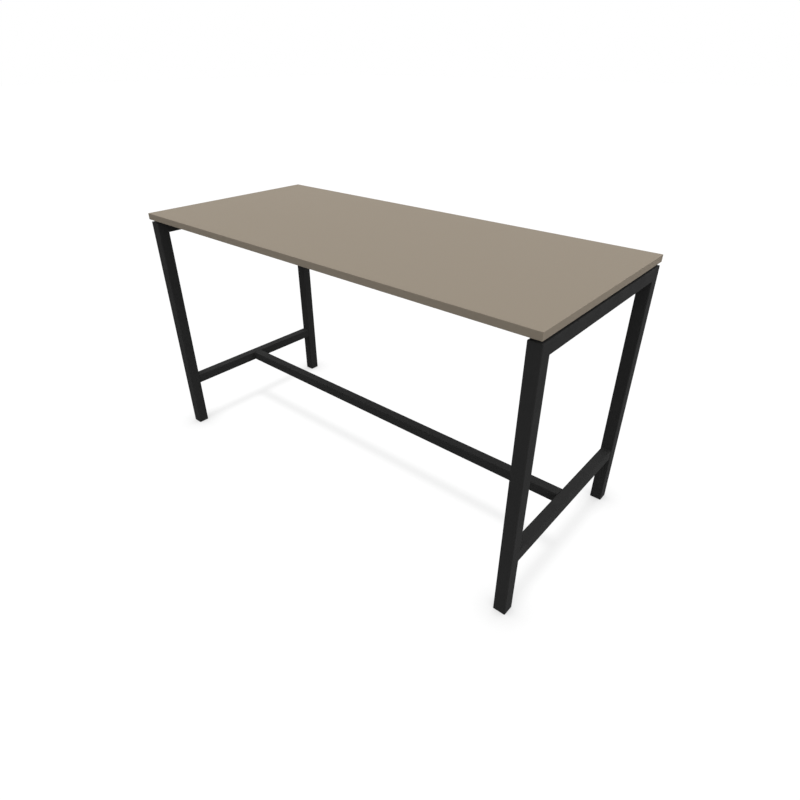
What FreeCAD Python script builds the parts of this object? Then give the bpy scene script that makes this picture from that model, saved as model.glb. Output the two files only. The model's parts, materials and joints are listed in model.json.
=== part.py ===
"""Standing-height meeting table, millimetres.

A banded board floats on spacers above a welded frame of square tube. Two closed end frames stand on
levelling feet and are joined by two beams under the board and by one footrest bar near the floor.
The origin is on the floor under the middle of the board: +X along the table, +Y to its rear, +Z up.
"""

import FreeCAD, Part
import math
import os
import Sketcher

SIZES = [
    # board
    ("top_length", 1800, "board with its edge bands, along X"),
    ("top_depth", 800, "board with its edge bands, along Y"),
    ("table_height", 1010, "floor to the upper face of the board"),
    ("top_thickness", 25, "melamine-faced board"),
    ("band_thickness", 2, "edge band"),
    ("band_arris", 1.5, "radius along the band's outer edges"),
    # end frames
    ("frame_end_inset", 0, "end of the board to the outer face of an end frame"),
    ("frame_side_inset", 7.5, "front or rear of the board to the outer face of a leg"),
    ("spacer_height", 10, "shadow gap between board and frame"),
    ("leg_tube", 45, "square tube of the legs and top rails"),
    ("rail_tube", 40, "square tube of the lower rails and the footrest bar"),
    ("tube_wall", 2, "wall of every tube"),
    ("tube_corner", 3, "outer corner radius of every tube"),
    ("leg_floor_gap", 3, "floor to the end of a leg, feet screwed in"),
    ("footrest_top_height", 247, "floor to the upper face of the footrest bar"),
    # beams under the board
    ("beam_tube", 40, "square tube of the beams"),
    ("beam_spacing", 350, "centre to centre, along Y"),
    ("beam_plate_thickness", 4, "end plate welded to a beam"),
    ("beam_plate_width", 110, "end plate, along Y"),
    ("beam_plate_height", 42, "end plate, along Z"),
    ("beam_plate_corner", 5, "corner radius of an end plate"),
    ("beam_bolt_spacing", 80, "between the two bolts of one plate"),
    ("beam_bolt_diameter", 8, "M8"),
    ("beam_bolt_length", 20, "under the head"),
    ("beam_bolt_flats", 13, "across the flats of the head"),
    ("beam_bolt_head", 5.3, "height of the head"),
    ("beam_bolt_hole", 9, "clearance hole in an end plate"),
    ("blind_nut_barrel", 11, "outside diameter of a blind nut"),
    ("blind_nut_bulb", 14, "diameter of its crushed bulb behind the wall, tapering to the end"),
    ("blind_nut_length", 16, "whole length, flush with the tube's face"),
    # fixing of the board
    ("rail_screw_spacing", 600, "between the two screws of one top rail"),
    ("beam_screw_spacing", 500, "between the three screws of one beam"),
    ("top_screw_diameter", 6, "M6"),
    ("top_screw_length", 25, "under the head"),
    ("top_screw_head_diameter", 12, "pan head"),
    ("top_screw_head", 4, "height of the head"),
    ("top_screw_hole", 7, "clearance hole in the upper wall and in the spacer"),
    ("driver_hole", 14, "hole in the lower wall for head and driver"),
    ("spacer_diameter", 25, "round spacer"),
    ("insert_diameter", 10, "threaded insert"),
    ("insert_length", 13, "threaded insert"),
    ("insert_hole_depth", 15, "blind hole in the board"),
    # fixing of the footrest bar
    ("spigot_length", 45, "from the rail's face into the bar"),
    ("spigot_wall", 3, "wall of the spigot"),
    ("spigot_clearance", 0.3, "between spigot and bar, each side"),
    ("footrest_screw_first", 14, "rail's face to the first screw"),
    ("footrest_screw_pitch", 18, "first screw to the second"),
    ("footrest_screw_diameter", 6, "M6"),
    ("footrest_screw_length", 12, "under the head"),
    ("footrest_screw_head_diameter", 10.5, "button head"),
    ("footrest_screw_head", 3.3, "height of the head"),
    ("footrest_screw_slope", 2.2, "sloping edge of the head, across and up"),
    ("footrest_screw_hole", 6.6, "clearance hole in the bar"),
    # levelling feet
    ("pad_diameter", 34, "foot pad"),
    ("pad_height", 8, "foot pad"),
    ("pad_rim_height", 4, "height of the pad's upright rim"),
    ("pad_crown_diameter", 20, "flat crown round the stem"),
    ("pad_chamfer", 0.8, "lower edge of the rim"),
    ("pad_sole", 2.5, "thickness under the stem's head"),
    ("stem_head_diameter", 13, "disc that snaps into the pad and turns there"),
    ("stem_head_thickness", 2.5, "disc that snaps into the pad and turns there"),
    ("neck_diameter", 8, "stem between head and collar"),
    ("collar_gap", 0.6, "pad to collar"),
    ("collar_flats", 13, "across the flats of the collar"),
    ("collar_height", 5, "spanner collar"),
    ("stop_gap", 0.4, "collar to nut, foot screwed in"),
    ("thread_diameter", 10, "M10, pitch 1.5"),
    ("thread_length", 30, "stem above the collar"),
    ("thread_chamfer", 1, "tip of the stem"),
    ("level_nut_flats", 16, "M10 hex nut, welded under its plate"),
    ("level_nut_height", 8.4, "M10 hex nut"),
    ("foot_plate_thickness", 5, "square plate welded inside a leg"),
    ("foot_plate_hole", 11, "clearance hole for the stem"),
    # clearances and working margins
    ("thread_clearance", 0.1, "between a screw and its thread, each side"),
    ("seat_clearance", 0.05, "between a pressed piece and its hole, each side"),
    ("head_clearance", 0.1, "between the stem and the pad that it turns in"),
    ("cut_margin", 5, "how far a mitre cut reaches past the tube"),
]

PLACES = [
    ("board_underside", "=Sizes.table_height - Sizes.top_thickness"),
    ("panel_length", "=Sizes.top_length - 2 * Sizes.band_thickness"),
    ("panel_depth", "=Sizes.top_depth - 2 * Sizes.band_thickness"),
    ("frame_top", "=board_underside - Sizes.spacer_height"),
    ("leg_x", "=Sizes.top_length / 2 - Sizes.frame_end_inset - Sizes.leg_tube / 2"),
    ("leg_y", "=Sizes.top_depth / 2 - Sizes.frame_side_inset - Sizes.leg_tube / 2"),
    ("leg_length", "=frame_top - Sizes.leg_floor_gap"),
    ("top_rail_length", "=2 * leg_y + Sizes.leg_tube"),
    ("top_rail_level", "=frame_top - Sizes.leg_tube / 2"),
    ("top_rail_face", "=leg_x - Sizes.leg_tube / 2"),
    ("lower_rail_length", "=2 * leg_y - Sizes.leg_tube"),
    ("lower_rail_level", "=Sizes.footrest_top_height - Sizes.rail_tube / 2"),
    ("lower_rail_face", "=leg_x - Sizes.rail_tube / 2"),
    ("beam_y", "=Sizes.beam_spacing / 2"),
    ("beam_level", "=frame_top - Sizes.beam_tube / 2"),
    ("beam_plate_face", "=top_rail_face - Sizes.beam_plate_thickness"),
    ("bolt_y", "=Sizes.beam_bolt_spacing / 2"),
    ("screw_seat", "=frame_top - Sizes.tube_wall"),
    ("rail_screw_y", "=Sizes.rail_screw_spacing / 2"),
    ("spigot_side", "=Sizes.rail_tube - 2 * Sizes.tube_wall - 2 * Sizes.spigot_clearance"),
    ("footrest_underside", "=Sizes.footrest_top_height - Sizes.rail_tube"),
    ("footrest_screw_second", "=Sizes.footrest_screw_first + Sizes.footrest_screw_pitch"),
    ("stem_head_underside", "=Sizes.pad_sole + Sizes.head_clearance"),
    ("stem_head_top", "=stem_head_underside + Sizes.stem_head_thickness"),
    ("collar_underside", "=Sizes.pad_height + Sizes.collar_gap"),
    ("collar_top", "=collar_underside + Sizes.collar_height"),
    ("stem_tip", "=collar_top + Sizes.thread_length"),
    ("level_nut_underside", "=collar_top + Sizes.stop_gap"),
    ("foot_plate_underside", "=level_nut_underside + Sizes.level_nut_height"),
    ("foot_plate_side", "=Sizes.leg_tube - 2 * Sizes.tube_wall - 2 * Sizes.seat_clearance"),
]

LEFT = -1
RIGHT = 1
FRONT = -1
REAR = 1
SIDES = {"left": LEFT, "right": RIGHT}
ROWS = {"front": FRONT, "rear": REAR}
CORNERS = [(row, side) for side in SIDES for row in ROWS]
HALF_TURN = 180
QUARTER_TURN = 90
SIXTH_TURN = 60
ALONG_BEAM = (-1, 0, 1)
SAME_PLACE = 1e-6
AXIS_Y = FreeCAD.Vector(0, 1, 0)
AXIS_Z = FreeCAD.Vector(0, 0, 1)
START = 1
END = 2
CENTRE = 3
ORIGIN = (-1, 1)

doc = FreeCAD.newDocument("StandingMeetingTable")
nodes = {}


# ---------------------------------------------------------------- sheets and expressions

def fill_sheet(name, rows):
    """Make a spreadsheet with one aliased cell a row: a plain number or a formula."""
    sheet = doc.addObject("Spreadsheet::Sheet", name)
    for number, (alias, content, *note) in enumerate(rows, start=1):
        sheet.set(f"A{number}", alias)
        sheet.set(f"B{number}", str(content))
        sheet.setAlias(f"B{number}", alias)
        sheet.set(f"C{number}", " ".join(note))
    doc.recompute()
    return sheet


fill_sheet("Sizes", SIZES)
places = fill_sheet("Places", PLACES)


def value(expression):
    """The number that an expression on the two sheets gives now."""
    return float(places.evalExpression(expression))


# ---------------------------------------------------------------- sketches

def new_body(label):
    """An empty body whose label is the name of its piece."""
    body = doc.addObject("PartDesign::Body", label)
    body.Label = label
    return body


def new_sketch(body, role, offset="0"):
    """A sketch on one of the body's origin planes, moved along the plane's normal."""
    sketch = body.newObject("Sketcher::SketchObject", f"{body.Label}_sketch")
    plane = next(item for item in body.Origin.OriginFeatures if item.Role == role)
    sketch.AttachmentSupport = [(plane, "")]
    sketch.MapMode = "FlatFace"
    sketch.setExpression("AttachmentOffset.Base.z", offset)
    return sketch


def bind(sketch, kind, *geometry, size):
    """Add a dimension to a sketch and tie it to an expression."""
    index = sketch.addConstraint(Sketcher.Constraint(kind, *geometry, value(size)))
    sketch.setExpression(f"Constraints[{index}]", size)


def draw_polygon(sketch, corners):
    """Closed outline of straight lines; every corner is a pair of expressions."""
    first = sketch.GeometryCount
    count = len(corners)
    points = [FreeCAD.Vector(value(x), value(y), 0) for x, y in corners]
    for here in range(count):
        sketch.addGeometry(Part.LineSegment(points[here], points[(here + 1) % count]))
    for here in range(count):
        following = first + (here + 1) % count
        sketch.addConstraint(Sketcher.Constraint("Coincident", first + here, END, following, START))
    for here, (x, y) in enumerate(corners):
        bind(sketch, "DistanceX", *ORIGIN, first + here, START, size=x)
        bind(sketch, "DistanceY", *ORIGIN, first + here, START, size=y)


def draw_rectangle(sketch, width, height):
    """Sharp rectangle about the sketch's origin."""
    right = f"({width}) / 2"
    top = f"({height}) / 2"
    corners = [(f"-{right}", f"-{top}"), (right, f"-{top}"), (right, top), (f"-{right}", top)]
    draw_polygon(sketch, corners)


def draw_rounded(sketch, width, height, radius):
    """Rectangle with round corners about the sketch's origin."""
    first = sketch.GeometryCount
    x = value(width) / 2
    y = value(height) / 2
    r = value(radius)
    lines = [
        ((r - x, -y), (x - r, -y)),
        ((x, r - y), (x, y - r)),
        ((x - r, y), (r - x, y)),
        ((-x, y - r), (-x, r - y)),
    ]
    centres = [(x - r, r - y), (x - r, y - r), (r - x, y - r), (r - x, r - y)]
    for quarter, (line, centre) in enumerate(zip(lines, centres)):
        start, end = (FreeCAD.Vector(*point, 0) for point in line)
        sketch.addGeometry(Part.LineSegment(start, end))
        circle = Part.Circle(FreeCAD.Vector(*centre, 0), AXIS_Z, r)
        sketch.addGeometry(Part.ArcOfCircle(circle, (quarter - 1) * math.pi / 2, quarter * math.pi / 2))
    count = len(lines) + len(centres)
    for piece in range(count):
        following = first + (piece + 1) % count
        sketch.addConstraint(Sketcher.Constraint("Tangent", first + piece, END, following, START))
    bottom, right, top, left = range(first, first + count, 2)
    arc, second_arc, opposite_arc, fourth_arc = range(first + 1, first + count, 2)
    for line in (bottom, top):
        sketch.addConstraint(Sketcher.Constraint("Horizontal", line))
    for line in (right, left):
        sketch.addConstraint(Sketcher.Constraint("Vertical", line))
    for other in (second_arc, opposite_arc, fourth_arc):
        sketch.addConstraint(Sketcher.Constraint("Equal", arc, other))
    sketch.addConstraint(Sketcher.Constraint("Symmetric", arc, CENTRE, opposite_arc, CENTRE, *ORIGIN))
    bind(sketch, "Radius", arc, size=radius)
    bind(sketch, "DistanceX", left, START, right, START, size=width)
    bind(sketch, "DistanceY", bottom, START, top, START, size=height)


def draw_circles(sketch, diameter, centres):
    """Circles of one diameter; every centre is a pair of expressions."""
    for x, y in centres:
        circle = Part.Circle(FreeCAD.Vector(value(x), value(y), 0), AXIS_Z, value(diameter) / 2)
        index = sketch.addGeometry(circle)
        bind(sketch, "DistanceX", *ORIGIN, index, CENTRE, size=x)
        bind(sketch, "DistanceY", *ORIGIN, index, CENTRE, size=y)
        bind(sketch, "Diameter", index, size=diameter)


def draw_hexagon(sketch, flats):
    """Regular hexagon about the sketch's origin, by its width across the flats."""
    reach = f"({flats}) / 2 / cos({SIXTH_TURN / 2} deg)"
    corners = []
    for angle in range(0, 2 * HALF_TURN, SIXTH_TURN):
        corners.append((f"{reach} * cos({angle} deg)", f"{reach} * sin({angle} deg)"))
    draw_polygon(sketch, corners)


# ---------------------------------------------------------------- features

def add_pad(body, sketch, length, middle=False, down=False):
    """Extrude a sketch along its normal, or half to each side of it."""
    pad = body.newObject("PartDesign::Pad", f"{body.Label}_pad")
    pad.Profile = sketch
    pad.setExpression("Length", length)
    pad.SideType = "Symmetric" if middle else "One side"
    pad.Reversed = down
    sketch.Visibility = False
    doc.recompute()
    return pad


def add_pocket(body, sketch, depth=None, up=False):
    """Cut a sketch against its normal, with it, or right through where no depth is given."""
    pocket = body.newObject("PartDesign::Pocket", f"{body.Label}_pocket")
    pocket.Profile = sketch
    if depth is None:
        pocket.SideType = "Symmetric"
        pocket.Type = "ThroughAll"
    else:
        pocket.setExpression("Length", depth)
    pocket.Reversed = up
    sketch.Visibility = False
    doc.recompute()
    return pocket


def add_revolution(body, sketch):
    """Turn a profile drawn on the XZ plane a full turn about the body's Z axis."""
    revolution = body.newObject("PartDesign::Revolution", f"{body.Label}_revolution")
    revolution.Profile = sketch
    revolution.ReferenceAxis = (sketch, ["V_Axis"])
    revolution.Angle = 2 * HALF_TURN
    sketch.Visibility = False
    doc.recompute()
    return revolution


def put(body, x="0", y="0", z="0", rotation=None):
    """Place a piece by three expressions, turned about its own origin."""
    if rotation is not None:
        body.Placement.Rotation = rotation
    for axis, expression in zip("xyz", (x, y, z)):
        body.setExpression(f"Placement.Base.{axis}", expression)
    doc.recompute()


def about_z(angle):
    """A turn about the vertical, in degrees."""
    return FreeCAD.Rotation(AXIS_Z, angle)


def keep(piece, label=None):
    """Make a finished object one of the table's pieces."""
    if label is not None:
        piece.Label = label
    nodes[piece.Label] = piece


def scatter(label, body, spots):
    """Repeat one small piece at several places as a group of separate solids."""
    copies = [body]
    put(body, *spots[0])
    for spot in spots[1:]:
        copy = doc.addObject("App::Link", f"{body.Label}_copy")
        copy.LinkedObject = body
        put(copy, *spot)
        copies.append(copy)
    group = doc.addObject("Part::Compound", label)
    group.Label = label
    group.Links = copies
    doc.recompute()
    keep(group)


# ---------------------------------------------------------------- board

def fixing_spots():
    """Places of the board's screws: two over each top rail and three over each beam."""
    spots = []
    for side in SIDES.values():
        for row in ROWS.values():
            spots.append((f"{side} * Places.leg_x", f"{row} * Places.rail_screw_y"))
    for row in ROWS.values():
        for step in ALONG_BEAM:
            spots.append((f"{step} * Sizes.beam_screw_spacing", f"{row} * Places.beam_y"))
    return spots


def make_panel():
    """Melamine-faced board with blind holes for the inserts in its underside."""
    body = new_body("tabletop_panel")
    outline = new_sketch(body, "XY_Plane")
    draw_rectangle(outline, "Places.panel_length", "Places.panel_depth")
    add_pad(body, outline, "Sizes.top_thickness")
    holes = new_sketch(body, "XY_Plane")
    draw_circles(holes, "Sizes.insert_diameter", fixing_spots())
    add_pocket(body, holes, "Sizes.insert_hole_depth", up=True)
    put(body, z="Places.board_underside")
    keep(body)


def make_edge_band(label, length, x, y, angle):
    """Edge band whose outer face looks along -Y before it is turned, with its outer arrises round.

    The long bands show their ends at the table's corners, so those arrises are round too.
    """
    body = new_body(label)
    outline = new_sketch(body, "XY_Plane")
    draw_rectangle(outline, length, "Sizes.band_thickness")
    pad = add_pad(body, outline, "Sizes.top_thickness")
    inner = value("Sizes.band_thickness") / 2
    shows_ends = "front" in label or "rear" in label
    outer_edges = []
    for number, edge in enumerate(pad.Shape.Edges, start=1):
        on_inner_face = all(abs(vertex.Y - inner) < SAME_PLACE for vertex in edge.Vertexes)
        along_x = abs(edge.Vertexes[0].Y - edge.Vertexes[1].Y) < SAME_PLACE
        level = abs(edge.Vertexes[0].Z - edge.Vertexes[1].Z) < SAME_PLACE
        if not on_inner_face and (shows_ends or (along_x and level)):
            outer_edges.append(f"Edge{number}")
    fillet = body.newObject("PartDesign::Fillet", f"{label}_arris")
    fillet.Base = (pad, outer_edges)
    fillet.setExpression("Radius", "Sizes.band_arris")
    put(body, x, y, "Places.board_underside", about_z(angle))
    keep(body)


def make_edge_bands():
    """The long bands run past the ends of the short ones."""
    y = "(Sizes.top_depth - Sizes.band_thickness) / 2"
    x = "(Sizes.top_length - Sizes.band_thickness) / 2"
    make_edge_band("front_edge_band", "Sizes.top_length", "0", f"-{y}", 0)
    make_edge_band("rear_edge_band", "Sizes.top_length", "0", y, HALF_TURN)
    make_edge_band("left_edge_band", "Places.panel_depth", f"-{x}", "0", -QUARTER_TURN)
    make_edge_band("right_edge_band", "Places.panel_depth", x, "0", QUARTER_TURN)


# ---------------------------------------------------------------- tubes of the frame

def draw_tube_section(sketch, side):
    """Square section with round outer corners and a square hollow."""
    hollow = f"{side} - 2 * Sizes.tube_wall"
    draw_rounded(sketch, side, side, "Sizes.tube_corner")
    draw_rectangle(sketch, hollow, hollow)


def make_leg(row, side):
    """Leg, mitred at the top towards the other leg of its end frame."""
    body = new_body(f"{row}_{side}_leg")
    section = new_sketch(body, "XY_Plane")
    draw_tube_section(section, "Sizes.leg_tube")
    add_pad(body, section, "Places.leg_length")
    mitre = new_sketch(body, "YZ_Plane")
    outside = "Sizes.leg_tube / 2 + Sizes.cut_margin"
    above = "Places.leg_length + Sizes.cut_margin"
    below = "Places.leg_length - Sizes.leg_tube - Sizes.cut_margin"
    draw_polygon(mitre, [(f"-({outside})", above), (outside, below), (outside, above)])
    add_pocket(body, mitre)
    angle = 0 if row == "front" else HALF_TURN
    x = f"{SIDES[side]} * Places.leg_x"
    y = f"{ROWS[row]} * Places.leg_y"
    put(body, x, y, "Sizes.leg_floor_gap", about_z(angle))
    keep(body)


def drill_for_board(body, half_tube, spots):
    """Screw holes in a tube's upper wall, each above a wider hole for head and driver."""
    upper = new_sketch(body, "XY_Plane", half_tube)
    draw_circles(upper, "Sizes.top_screw_hole", spots)
    add_pocket(body, upper, "Sizes.tube_wall")
    lower = new_sketch(body, "XY_Plane", f"-{half_tube}")
    draw_circles(lower, "Sizes.driver_hole", spots)
    add_pocket(body, lower, "Sizes.tube_wall", up=True)


def make_top_rail(side):
    """Top rail, mitred at both ends, drilled for the board and for the beams."""
    body = new_body(f"{side}_top_rail")
    section = new_sketch(body, "XZ_Plane")
    draw_tube_section(section, "Sizes.leg_tube")
    add_pad(body, section, "Places.top_rail_length", middle=True)
    half = "Sizes.leg_tube / 2"
    for end in ROWS.values():
        mitre = new_sketch(body, "YZ_Plane")
        outside = f"{end} * (Places.top_rail_length / 2 + Sizes.cut_margin)"
        inside = f"{end} * (Places.top_rail_length / 2 - Sizes.leg_tube - Sizes.cut_margin)"
        above = f"{half} + Sizes.cut_margin"
        below = f"-{half} - Sizes.cut_margin"
        draw_polygon(mitre, [(outside, above), (inside, below), (outside, below)])
        add_pocket(body, mitre)
    drill_for_board(body, half, [("0", f"{end} * Places.rail_screw_y") for end in ROWS.values()])
    bolts = new_sketch(body, "YZ_Plane", half)
    centres = []
    for beam in ROWS.values():
        for bolt in ROWS.values():
            centres.append((f"{beam} * Places.beam_y + {bolt} * Places.bolt_y", "0"))
    draw_circles(bolts, "Sizes.blind_nut_barrel", centres)
    add_pocket(body, bolts, "Sizes.tube_wall")
    angle = 0 if side == "left" else HALF_TURN
    put(body, f"{SIDES[side]} * Places.leg_x", "0", "Places.top_rail_level", about_z(angle))
    keep(body)


def make_lower_rail(side):
    """Lower rail, butted between the two legs of an end frame."""
    body = new_body(f"{side}_lower_rail")
    section = new_sketch(body, "XZ_Plane")
    draw_tube_section(section, "Sizes.rail_tube")
    add_pad(body, section, "Places.lower_rail_length", middle=True)
    put(body, f"{SIDES[side]} * Places.leg_x", "0", "Places.lower_rail_level")
    keep(body)


# ---------------------------------------------------------------- footrest bar

def footrest_screw_xs():
    """Distances of the footrest's screws from the middle of the table, at both ends."""
    spots = []
    for side in SIDES.values():
        for distance in ("Sizes.footrest_screw_first", "Places.footrest_screw_second"):
            spots.append(f"{side} * (Places.lower_rail_face - {distance})")
    return spots


def make_footrest_bar():
    """Footrest bar from rail to rail, drilled from below at both ends."""
    body = new_body("footrest_bar")
    section = new_sketch(body, "YZ_Plane")
    draw_tube_section(section, "Sizes.rail_tube")
    add_pad(body, section, "2 * Places.lower_rail_face", middle=True)
    holes = new_sketch(body, "XY_Plane", "-Sizes.rail_tube / 2")
    draw_circles(holes, "Sizes.footrest_screw_hole", [(x, "0") for x in footrest_screw_xs()])
    add_pocket(body, holes, "Sizes.tube_wall", up=True)
    put(body, z="Places.lower_rail_level")
    keep(body)


def make_footrest_spigot(side):
    """Stub of thick tube welded to the lower rail, tapped in its lower wall."""
    body = new_body(f"{side}_footrest_spigot")
    section = new_sketch(body, "YZ_Plane")
    draw_rectangle(section, "Places.spigot_side", "Places.spigot_side")
    hollow = "Places.spigot_side - 2 * Sizes.spigot_wall"
    draw_rectangle(section, hollow, hollow)
    add_pad(body, section, "Sizes.spigot_length")
    taps = new_sketch(body, "XY_Plane", "-Places.spigot_side / 2")
    centres = [("Sizes.footrest_screw_first", "0"), ("Places.footrest_screw_second", "0")]
    draw_circles(taps, "Sizes.footrest_screw_diameter", centres)
    add_pocket(body, taps, "Sizes.spigot_wall", up=True)
    angle = 0 if side == "left" else HALF_TURN
    put(body, f"{SIDES[side]} * Places.lower_rail_face", "0", "Places.lower_rail_level", about_z(angle))
    keep(body)


def make_footrest_screws():
    """Button-head screws, pointing up."""
    body = new_body("footrest_screw")
    profile = new_sketch(body, "XZ_Plane")
    head = "Sizes.footrest_screw_head_diameter / 2"
    shank = "Sizes.footrest_screw_diameter / 2 - Sizes.thread_clearance"
    slope = "Sizes.footrest_screw_slope"
    corners = [
        ("0", "-Sizes.footrest_screw_head"),
        (f"{head} - {slope}", "-Sizes.footrest_screw_head"),
        (head, f"{slope} - Sizes.footrest_screw_head"),
        (head, "0"),
        (shank, "0"),
        (shank, "Sizes.footrest_screw_length"),
        ("0", "Sizes.footrest_screw_length"),
    ]
    draw_polygon(profile, corners)
    add_revolution(body, profile)
    scatter("footrest_screws", body, [(x, "0", "Places.footrest_underside") for x in footrest_screw_xs()])


# ---------------------------------------------------------------- beams under the board

def make_beam(row):
    """Beam between the two top rails, with its upper face level with theirs."""
    body = new_body(f"{row}_beam")
    section = new_sketch(body, "YZ_Plane")
    draw_tube_section(section, "Sizes.beam_tube")
    add_pad(body, section, "2 * Places.beam_plate_face", middle=True)
    spots = [(f"{step} * Sizes.beam_screw_spacing", "0") for step in ALONG_BEAM]
    drill_for_board(body, "Sizes.beam_tube / 2", spots)
    put(body, "0", f"{ROWS[row]} * Places.beam_y", "Places.beam_level")
    keep(body)


def make_beam_plate(row, side):
    """End plate between a beam and a top rail, bolted on both sides of the beam."""
    body = new_body(f"{row}_{side}_beam_plate")
    outline = new_sketch(body, "YZ_Plane")
    draw_rounded(outline, "Sizes.beam_plate_width", "Sizes.beam_plate_height", "Sizes.beam_plate_corner")
    centres = [(f"{bolt} * Places.bolt_y", "0") for bolt in ROWS.values()]
    draw_circles(outline, "Sizes.beam_bolt_hole", centres)
    add_pad(body, outline, "Sizes.beam_plate_thickness")
    angle = 0 if side == "right" else HALF_TURN
    x = f"{SIDES[side]} * Places.beam_plate_face"
    y = f"{ROWS[row]} * Places.beam_y"
    put(body, x, y, "Places.top_rail_level", about_z(angle))
    keep(body)


def bolt_spots(distance):
    """Places of the beams' bolts or nuts, each pointing out through its top rail."""
    spots = []
    for side in SIDES.values():
        outward = FreeCAD.Rotation(AXIS_Y, side * QUARTER_TURN)
        for beam in ROWS.values():
            for bolt in ROWS.values():
                y = f"{beam} * Places.beam_y + {bolt} * Places.bolt_y"
                spots.append((f"{side} * {distance}", y, "Places.top_rail_level", outward))
    return spots


def make_beam_bolts():
    """Hex-head bolts, heads towards the middle of the table."""
    body = new_body("beam_bolt")
    head = new_sketch(body, "XY_Plane")
    draw_hexagon(head, "Sizes.beam_bolt_flats")
    add_pad(body, head, "Sizes.beam_bolt_head", down=True)
    shank = new_sketch(body, "XY_Plane")
    draw_circles(shank, "Sizes.beam_bolt_diameter - 2 * Sizes.thread_clearance", [("0", "0")])
    add_pad(body, shank, "Sizes.beam_bolt_length")
    scatter("beam_bolts", body, bolt_spots("Places.beam_plate_face"))


def make_blind_nuts():
    """Blind nuts, flush in the inner wall of a top rail with their bulb behind it."""
    body = new_body("beam_blind_nut")
    profile = new_sketch(body, "XZ_Plane")
    bore = "Sizes.beam_bolt_diameter / 2"
    barrel = "Sizes.blind_nut_barrel / 2 - Sizes.seat_clearance"
    bulb = "Sizes.blind_nut_bulb / 2"
    corners = [
        (bore, "0"),
        (barrel, "0"),
        (barrel, "Sizes.tube_wall"),
        (bulb, "Sizes.tube_wall"),
        (barrel, "Sizes.blind_nut_length"),
        (bore, "Sizes.blind_nut_length"),
    ]
    draw_polygon(profile, corners)
    add_revolution(body, profile)
    scatter("beam_blind_nuts", body, bolt_spots("Places.top_rail_face"))


# ---------------------------------------------------------------- fixing of the board

def make_spacers():
    """Round spacers that hold the board clear of the frame."""
    body = new_body("top_spacer")
    ring = new_sketch(body, "XY_Plane")
    draw_circles(ring, "Sizes.spacer_diameter", [("0", "0")])
    draw_circles(ring, "Sizes.top_screw_hole", [("0", "0")])
    add_pad(body, ring, "Sizes.spacer_height")
    scatter("top_spacers", body, [(x, y, "Places.frame_top") for x, y in fixing_spots()])


def make_inserts():
    """Threaded inserts, flush with the board's underside."""
    body = new_body("top_insert")
    sleeve = new_sketch(body, "XY_Plane")
    draw_circles(sleeve, "Sizes.insert_diameter - 2 * Sizes.seat_clearance", [("0", "0")])
    draw_circles(sleeve, "Sizes.top_screw_diameter", [("0", "0")])
    add_pad(body, sleeve, "Sizes.insert_length")
    scatter("top_inserts", body, [(x, y, "Places.board_underside") for x, y in fixing_spots()])


def make_top_screws():
    """Pan-head screws from inside the tubes up into the inserts."""
    body = new_body("top_screw")
    head = new_sketch(body, "XY_Plane")
    draw_circles(head, "Sizes.top_screw_head_diameter", [("0", "0")])
    add_pad(body, head, "Sizes.top_screw_head", down=True)
    shank = new_sketch(body, "XY_Plane")
    draw_circles(shank, "Sizes.top_screw_diameter - 2 * Sizes.thread_clearance", [("0", "0")])
    add_pad(body, shank, "Sizes.top_screw_length")
    scatter("top_screws", body, [(x, y, "Places.screw_seat") for x, y in fixing_spots()])


# ---------------------------------------------------------------- levelling feet

def at_leg(row, side):
    """Centre of one leg, as a pair of expressions."""
    return f"{SIDES[side]} * Places.leg_x", f"{ROWS[row]} * Places.leg_y"


def make_foot_plate(row, side):
    """Square plate welded inside the end of a leg, which carries the leg on its levelling nut."""
    body = new_body(f"{row}_{side}_foot_plate")
    outline = new_sketch(body, "XY_Plane")
    draw_rectangle(outline, "Places.foot_plate_side", "Places.foot_plate_side")
    draw_circles(outline, "Sizes.foot_plate_hole", [("0", "0")])
    add_pad(body, outline, "Sizes.foot_plate_thickness")
    put(body, *at_leg(row, side), "Places.foot_plate_underside")
    keep(body)


def make_levelling_nuts():
    """Hex nuts welded under the foot plates."""
    body = new_body("levelling_nut")
    section = new_sketch(body, "XY_Plane")
    draw_hexagon(section, "Sizes.level_nut_flats")
    draw_circles(section, "Sizes.thread_diameter", [("0", "0")])
    add_pad(body, section, "Sizes.level_nut_height")
    spots = [(*at_leg(row, side), "Places.level_nut_underside") for row, side in CORNERS]
    scatter("levelling_nuts", body, spots)


def make_foot_stem(row, side):
    """Threaded stem with a spanner collar and a disc head that turns in the pad."""
    body = new_body(f"{row}_{side}_foot_stem")
    collar = new_sketch(body, "XY_Plane", "Places.collar_underside")
    draw_hexagon(collar, "Sizes.collar_flats")
    add_pad(body, collar, "Sizes.collar_height")
    profile = new_sketch(body, "XZ_Plane")
    head = "Sizes.stem_head_diameter / 2"
    neck = "Sizes.neck_diameter / 2"
    thread = "Sizes.thread_diameter / 2 - Sizes.thread_clearance"
    corners = [
        ("0", "Places.stem_head_underside"),
        (head, "Places.stem_head_underside"),
        (head, "Places.stem_head_top"),
        (neck, "Places.stem_head_top"),
        (neck, "Places.collar_top"),
        (thread, "Places.collar_top"),
        (thread, "Places.stem_tip - Sizes.thread_chamfer"),
        (f"{thread} - Sizes.thread_chamfer", "Places.stem_tip"),
        ("0", "Places.stem_tip"),
    ]
    draw_polygon(profile, corners)
    add_revolution(body, profile)
    put(body, *at_leg(row, side))
    keep(body)


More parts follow.
